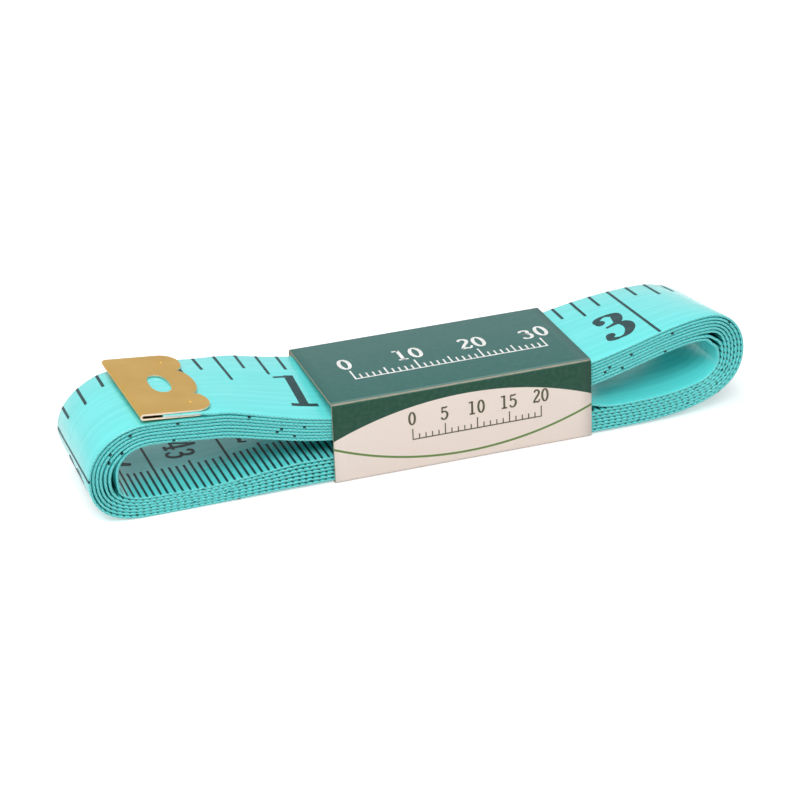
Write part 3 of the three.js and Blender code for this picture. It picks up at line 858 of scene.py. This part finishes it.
def brassBlank():
    half, halfMiddle = clip["width"] / 2, clip["middleWidth"] / 2
    sideMiddle, sideHalf = (half + halfMiddle) / 2, (half - halfMiddle) / 2
    notch, shoulder = clip["reach"] - clip["lobe"], clip["reach"] - clip["shoulder"]
    steps, lobe = clip["cornerSteps"], clip["lobeAngle"]
    outline = [(-clip["lowerReach"], -half, 0)]
    outline += arc(shoulder, -sideMiddle, clip["shoulder"], sideHalf, -90, 0, steps)
    outline += arc(notch, -sideMiddle, clip["lobe"], sideHalf, 0, lobe, steps)[1:]
    outline += arc(notch, 0, clip["lobe"], halfMiddle, -lobe, lobe, 2 * steps)
    outline += arc(notch, sideMiddle, clip["lobe"], sideHalf, -lobe, 0, steps)
    outline += arc(shoulder, sideMiddle, clip["shoulder"], sideHalf, 0, 90, steps)[1:]
    outline += [(-clip["lowerReach"], half, 0)]
    curve = bpy.data.curves.new("blank", "CURVE")
    curve.dimensions = "2D"
    curve.fill_mode = "BOTH"
    addLoop(curve, outline)
    eyeX, eyeHalf, eyeWide = clip["eye"]
    addLoop(curve, roundHole(eyeX, 0, eyeHalf, eyeWide, clip["eyeSteps"], clip["eyeSquareness"]))
    dimpleX, dimpleY, dimpleRadius, _ = clip["dimple"]
    for side in (-1, 1):
        addLoop(curve, roundHole(dimpleX, side * dimpleY, dimpleRadius, dimpleRadius, clip["dimpleSteps"]))
    shape = bpy.data.objects.new("blank", curve)
    bpy.context.scene.collection.objects.link(shape)
    mesh = bpy.data.meshes.new_from_object(shape.evaluated_get(bpy.context.evaluated_depsgraph_get()))
    bpy.data.objects.remove(shape)
    return mesh


def punchDimples(bm):
    dimpleX, dimpleY, dimpleRadius, depth = clip["dimple"]
    search = dimpleRadius * clip["dimpleSearch"]
    for side in (-1, 1):
        centre = Vector((dimpleX, side * dimpleY, 0))
        rim = [edge for edge in bm.edges if edge.is_boundary
               and all((vert.co - centre).length < search for vert in edge.verts)]
        for share, drop in clip["dimpleRings"]:
            made = bmesh.ops.extrude_edge_only(bm, edges=rim)["geom"]
            ring = [part for part in made if isinstance(part, bmesh.types.BMVert)]
            rim = [part for part in made if isinstance(part, bmesh.types.BMEdge)
                   and all(vert in ring for vert in part.verts)]
            bmesh.ops.scale(bm, verts=ring, vec=(share, share, 1), space=Matrix.Translation(-centre))
            bmesh.ops.translate(bm, verts=ring, vec=(0, 0, -depth * drop))
        bmesh.ops.contextual_create(bm, geom=rim)


def foldBlank(bm):
    foldLength = math.pi * clip["foldRadius"]
    cuts = np.linspace(-0.5, 0.5, clip["foldCuts"])
    for share in (-clip["foldGuard"], *cuts, clip["foldGuard"]):
        everything = list(bm.verts) + list(bm.edges) + list(bm.faces)
        bmesh.ops.bisect_plane(bm, geom=everything, plane_co=(share * foldLength, 0, 0), plane_no=(1, 0, 0))
    for vert in bm.verts:
        along, lift = vert.co.x, vert.co.z
        angle = max(-0.5, min(0.5, along / foldLength)) * math.pi
        straight = abs(along) - foldLength / 2 if abs(along) > foldLength / 2 else 0
        radius = clip["foldRadius"] + lift
        vert.co.x = -radius * math.cos(angle) + straight
        vert.co.z = radius * math.sin(angle)


def makeClip(name, matrix, *materials):
    blank = brassBlank()
    bm = bmesh.new()
    bm.from_mesh(blank)
    bpy.data.meshes.remove(blank)
    bmesh.ops.remove_doubles(bm, verts=bm.verts, dist=0.001)
    for face in bm.faces:
        if face.normal.z < 0:
            face.normal_flip()
    punchDimples(bm)
    faceUp(bm, faceSize)
    foldBlank(bm)
    mesh = meshOf(bm, name)
    mesh.transform(matrix)
    piece = addPiece(mesh, name, *materials, sharpAngle=30)
    sheet = piece.modifiers.new("sheet", "SOLIDIFY")
    sheet.thickness, sheet.offset = clip["thickness"] * mm, 0
    sheet.material_offset_rim = 1
    rounding = piece.modifiers.new("rounding", "BEVEL")
    rounding.width, rounding.segments = clip["rounding"] * mm, clip["roundingSteps"]
    rounding.limit_method, rounding.angle_limit = "ANGLE", math.radians(clip["roundingAngle"])
    piece.modifiers.new("normals", "WEIGHTED_NORMAL").keep_sharp = True
    return piece


brassFinish = {
    "tarnish": (170.0, 170.0, 170.0), "brushed": (500.0, 6000.0, 500.0),   # how fast each changes
    "roughness": 0.3, "roughnessChange": 0.12, "scratch": 0.000003,
}


def clipBrass(name, light, dark):
    material, tree, shader = newMaterial(name)
    place = node(tree, "ShaderNodeTexCoord").outputs["Object"]
    tarnish = noise(tree, place, brassFinish["tarnish"], 4.0)
    brushed = noise(tree, place, brassFinish["brushed"], 2.0)
    tree.links.new(mixed(tree, between(tree, tarnish, 0.25, 0.8), light, dark), shader.inputs["Base Color"])
    shader.inputs["Metallic"].default_value = 1.0
    change = calc(tree, "MULTIPLY", tarnish, brassFinish["roughnessChange"])
    tree.links.new(calc(tree, "ADD", brassFinish["roughness"], change), shader.inputs["Roughness"])
    tree.links.new(bump(tree, brushed, brassFinish["scratch"], 0.5), shader.inputs["Normal"])
    return material


def turnedBy(degrees, axis):
    return Matrix.Rotation(math.radians(degrees), 4, axis)


brass = clipBrass("clip_brass", (0.585, 0.37, 0.084), (0.53, 0.32, 0.070))
brassEdge = clipBrass("clip_cut_edge", (0.80, 0.68, 0.55), (0.66, 0.52, 0.40))
firstSeat = Matrix.Translation(clip["firstPlace"]) @ turnedBy(clip["firstYaw"], "Z")
firstSeat = firstSeat @ turnedBy(clip["firstTilt"], "Y") @ turnedBy(clip["firstRoll"], "X")
firstClip = makeClip("brass_clip_outer", firstSeat, brass, brassEdge)
lastClip = makeClip("brass_clip_inner", Matrix.Translation(clip["lastPlace"]), brass, brassEdge)
print("clips made")


# The card sleeve, a strip of card folded round the tape and glued at the back

card = {
    "length": 40, "width": 21.4, "height": 12.6, "thickness": 0.35,
    "flap": 7.0,          # how far the lap hangs down at the back
    "glue": 0.1,          # the glue's thickness under it
    "wallTop": 11.95,     # height of the back wall under the lap
    "fold": 0.55, "foldSteps": 4, "lengthCuts": 19,
}


def sleeveMesh():
    half, outBack = card["width"] / 2, card["width"] / 2 + card["glue"] + card["thickness"]
    corners = [(outBack, card["height"] - card["flap"]), (outBack, card["height"]), (-half, card["height"]),
               (-half, 0), (half, 0), (half, card["wallTop"])]
    bm = bmesh.new()
    verts = [bm.verts.new((-card["length"] / 2, y, z)) for y, z in corners]
    edges = [bm.edges.new(pair) for pair in zip(verts, verts[1:])]
    pullOut(bm, edges, (card["length"], 0, 0))
    folds = [edge for edge in bm.edges if len(edge.link_faces) == 2]
    bmesh.ops.bevel(bm, geom=folds, offset=card["fold"], segments=card["foldSteps"],
                    affect="EDGES", profile=0.5, material=-1)
    bmesh.ops.subdivide_edges(bm, edges=edgesAlong(bm, 0, 1), cuts=card["lengthCuts"], use_grid_fill=True)
    faceUp(bm, faceHeight)
    return meshOf(bm, "sleeve")


# The card's print, in millimetres from the sleeve's middle and foot. Each pair of places bounds the
# strip where one colour goes over into the next.
cardPrint = {
    # The top colour is the front's green print made lighter, a painted sheen from the light above.
    "green": (0.004, 0.056, 0.030), "top": (0.023, 0.118, 0.104), "cream": (0.83, 0.72, 0.65),
    # The scuff colour is a painted highlight on the lid, along the front fold.
    "rule": (0.12, 0.23, 0.05), "foldHighlight": (0.17, 0.27, 0.24), "fibre": (0.30, 0.40, 0.36),
    "core": (0.42, 0.34, 0.24),
    "hillArc": (0.46, -42.8, 53.6),    # x, z and radius of the cream field's upper edge
    "ruleArc": (0.17, 53.7, 52.25),    # the same of the thin line
    "ruleWide": 0.17, "soft": 0.03,    # half the line's width, and how soft the print's edges are
    "foot": (0.1, 0.2), "underside": (0.08, 0.25), "footWear": (0.05, 0.16),   # heights
    "front": (0.3, 0.1), "nearFront": (0.95, 0.6), "frontWear": (0.34, 0.24),  # from the front wall
    "lid": (0.35, 0.1), "lidWear": (0.26, 0.12),                               # down from the top
    "fibreShare": 0.04, "foldHighlightShare": 0.55, "footWearShare": 0.7,
    "fibreSize": (1.4, 1.4, 1.4), "wearSize": (0.9, 6.0, 6.0), "grainSize": (5.0, 5.0, 5.0),
    "grain": 0.000012, "roughness": 0.46, "shine": 0.32,
}


def printedCard():
    material, tree, shader = newMaterial("printed_card")
    place = node(tree, "ShaderNodeTexCoord").outputs["Object"]
    shift = node(tree, "ShaderNodeVectorMath", {0: place, 1: middle}, operation="SUBTRACT").outputs[0]
    scaled = node(tree, "ShaderNodeVectorMath", {0: shift, "Scale": 1 / mm}, operation="SCALE").outputs[0]
    parts = node(tree, "ShaderNodeSeparateXYZ", {"Vector": scaled}).outputs

    def fromCentre(x, z):
        across = calc(tree, "POWER", calc(tree, "SUBTRACT", parts["X"], x), 2.0)
        up = calc(tree, "POWER", calc(tree, "SUBTRACT", parts["Z"], z), 2.0)
        return calc(tree, "SQRT", calc(tree, "ADD", across, up))

    def inside(value, limit):
        return between(tree, value, limit - cardPrint["soft"], limit + cardPrint["soft"], 1.0, 0.0)

    def byFront(name, full=1.0):
        starts, ends = (depth - card["width"] / 2 for depth in cardPrint[name])
        return between(tree, parts["Y"], starts, ends, 0.0, full)

    def byLid(name):
        starts, ends = (card["height"] - depth for depth in cardPrint[name])
        return between(tree, parts["Z"], starts, ends)

    hillX, hillZ, hillRadius = cardPrint["hillArc"]
    below = inside(fromCentre(hillX, hillZ), hillRadius)
    ruleX, ruleZ, ruleRadius = cardPrint["ruleArc"]
    offRule = calc(tree, "ABSOLUTE", calc(tree, "SUBTRACT", fromCentre(ruleX, ruleZ), ruleRadius))
    onRule = inside(offRule, cardPrint["ruleWide"])
    aboveFoot = between(tree, parts["Z"], *cardPrint["foot"])
    front = byFront("front")
    underside = between(tree, parts["Z"], *cardPrint["underside"], 1.0, 0.0)
    paper = calc(tree, "MAXIMUM", calc(tree, "MULTIPLY", below, front), underside)
    fibres = noise(tree, scaled, cardPrint["fibreSize"], 5.0)
    lid = byLid("lid")
    # Painted sheen: the lid gets a lighter copy of the front's green.
    green = mixed(tree, lid, cardPrint["green"], cardPrint["top"])
    fibreShare = between(tree, fibres, 0.35, 0.7, 0.0, cardPrint["fibreShare"])
    green = mixed(tree, fibreShare, green, cardPrint["fibre"])
    colour = mixed(tree, paper, green, cardPrint["cream"])
    ruled = calc(tree, "MULTIPLY", calc(tree, "MULTIPLY", onRule, front), aboveFoot)
    colour = mixed(tree, ruled, colour, cardPrint["rule"])
    # Painted highlight: a lighter band on the lid, just behind the front fold.
    foldHighlighted = calc(tree, "MULTIPLY", lid, byFront("nearFront", cardPrint["foldHighlightShare"]))
    colour = mixed(tree, foldHighlighted, colour, cardPrint["foldHighlight"])
    # The print is worn to the card's core along the folds.
    wearNoise = noise(tree, scaled, cardPrint["wearSize"], 4.0)
    topFold = calc(tree, "MULTIPLY", byLid("lidWear"), byFront("frontWear"))
    footFold = between(tree, parts["Z"], *cardPrint["footWear"], 1.0, 0.0)
    folds = calc(tree, "MAXIMUM", topFold, calc(tree, "MULTIPLY", footFold, cardPrint["footWearShare"]))
    worn = calc(tree, "MULTIPLY", folds, between(tree, wearNoise, 0.25, 0.55, 0.35, 1.0))
    tree.links.new(mixed(tree, worn, colour, cardPrint["core"]), shader.inputs["Base Color"])
    shader.inputs["Roughness"].default_value = cardPrint["roughness"]
    shader.inputs["Specular IOR Level"].default_value = cardPrint["shine"]
    grain = noise(tree, scaled, cardPrint["grainSize"], 3.0)
    tree.links.new(bump(tree, grain, cardPrint["grain"]), shader.inputs["Normal"])
    return material


bareFinish = {"fibres": (900.0, 2400.0, 2400.0), "roughness": 0.85, "grain": 0.00002}


def bareCard(name, light, dark):
    material, tree, shader = newMaterial(name)
    place = node(tree, "ShaderNodeTexCoord").outputs["Object"]
    fibres = noise(tree, place, bareFinish["fibres"], 5.0)
    tree.links.new(mixed(tree, between(tree, fibres, 0.3, 0.7), light, dark), shader.inputs["Base Color"])
    shader.inputs["Roughness"].default_value = bareFinish["roughness"]
    tree.links.new(bump(tree, fibres, bareFinish["grain"]), shader.inputs["Normal"])
    return material


sleeve = addPiece(sleeveMesh(), "card_sleeve_printed", printedCard(),
                  bareCard("card_inside", (0.55, 0.50, 0.43), (0.46, 0.41, 0.35)),
                  bareCard("card_cut_edge", (0.50, 0.40, 0.28), (0.34, 0.26, 0.18)), sharpAngle=60)
board = sleeve.modifiers.new("board", "SOLIDIFY")
board.thickness, board.offset = card["thickness"] * mm, -1
board.material_offset, board.material_offset_rim = 1, 2
print("sleeve made")


# A plain ruler is printed on the sleeve's top, and another on its front.

rulers = {
    # x of the zero, length, place of the foot line up the card's face, height of the figures, heights
    # of the plain, fifth and numbered ticks, how often a number stands, and the lines' width
    "top": {"start": -14.0, "length": 30, "foot": -3.4, "figure": 3.6, "ticks": (1.5, 2.3, 3.1),
            "every": 10, "stroke": 0.26},
    "front": {"start": -8.0, "length": 20, "foot": 4.9, "figure": 2.1, "ticks": (0.8, 1.2, 1.7),
              "every": 5, "stroke": 0.18},
}
rulerAdvance = 0.62    # from one figure of a number to the next, as a share of its height
rulerFigureLift = 0.6  # how far above the longest ticks the figures stand
rulerTickInk = 0.9     # the ticks' ink, as a share of the foot line's


def inkBar(bm, x, y, wide, high, deep):
    matrix = Matrix.Translation((x, y, 0)) @ Matrix.Diagonal((wide, high, deep, 1))
    bmesh.ops.create_cube(bm, size=1, matrix=matrix)


def rulerPiece(name, ruler, seat, material):
    bm = bmesh.new()
    ink, stroke, foot = scales["ink"], ruler["stroke"], ruler["foot"]
    inkBar(bm, ruler["start"] + ruler["length"] / 2, foot, ruler["length"] + stroke, stroke, ink)
    glyphs = {figure: figureMesh(figure, plainPen) for figure in figures}
    advance = ruler["figure"] * rulerAdvance
    size = Matrix.Diagonal((ruler["figure"], ruler["figure"], ink, 1))
    for mark in range(ruler["length"] + 1):
        kind = 2 if mark % ruler["every"] == 0 else 1 if mark % 5 == 0 else 0
        high = ruler["ticks"][kind]
        x = ruler["start"] + mark
        inkBar(bm, x, foot + high / 2, stroke, high, ink * rulerTickInk)
        if kind == 2:
            text = str(mark)
            for index, figure in enumerate(text):
                left = x + (index - len(text) / 2) * advance
                place = Matrix.Translation((left, foot + ruler["ticks"][2] + rulerFigureLift, 0))
                addCopy(bm, glyphs[figure], place @ size)
    mesh = meshOf(bm, name)
    mesh.transform(seat)
    return addPiece(mesh, name, material)


topSeat = Matrix.Translation((0, 0, card["height"]))
frontSeat = Matrix.Translation((0, -card["width"] / 2, 0)) @ turnedBy(90, "X")
whiteInk = plainInk("white_ink", (0.80, 0.80, 0.78), 0.5)
oliveInk = plainInk("olive_ink", (0.07, 0.065, 0.03), 0.5)
topRuler = rulerPiece("sleeve_top_ruler", rulers["top"], topSeat, whiteInk)
frontRuler = rulerPiece("sleeve_front_ruler", rulers["front"], frontSeat, oliveInk)
print("rulers printed")


glueFinish = {
    "dark": (0.66, 0.60, 0.42), "light": (0.78, 0.74, 0.58),
    "patches": (700.0, 700.0, 700.0), "roughness": 0.35, "lumps": 0.00003,
}


def driedGlue():
    material, tree, shader = newMaterial("dry_glue")
    place = node(tree, "ShaderNodeTexCoord").outputs["Object"]
    patches = noise(tree, place, glueFinish["patches"], 3.0)
    colour = mixed(tree, patches, glueFinish["dark"], glueFinish["light"])
    tree.links.new(colour, shader.inputs["Base Color"])
    shader.inputs["Roughness"].default_value = glueFinish["roughness"]
    tree.links.new(bump(tree, patches, glueFinish["lumps"]), shader.inputs["Normal"])
    return material


glueNode = next(thing for thing in bpy.context.scene.objects if thing.get("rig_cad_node") == "sleeve_glue")
glueNode.data.materials.clear()
glueNode.data.materials.append(driedGlue())


# What rides on what

for piece in (coilStrip, inchWound, centimetreWound, lastClip):
    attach(piece, "coil")
for piece in (sleeve, topRuler, frontRuler):
    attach(piece, "sleeve")
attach(firstClip, "free_end")
for piece in (endStrip, inchLoose, centimetreLoose):
    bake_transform(piece)
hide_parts("tape_coil")
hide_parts("tape_free_end")
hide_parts("start_clip")
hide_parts("end_clip")
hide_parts("card_sleeve")

print("pieces seated")
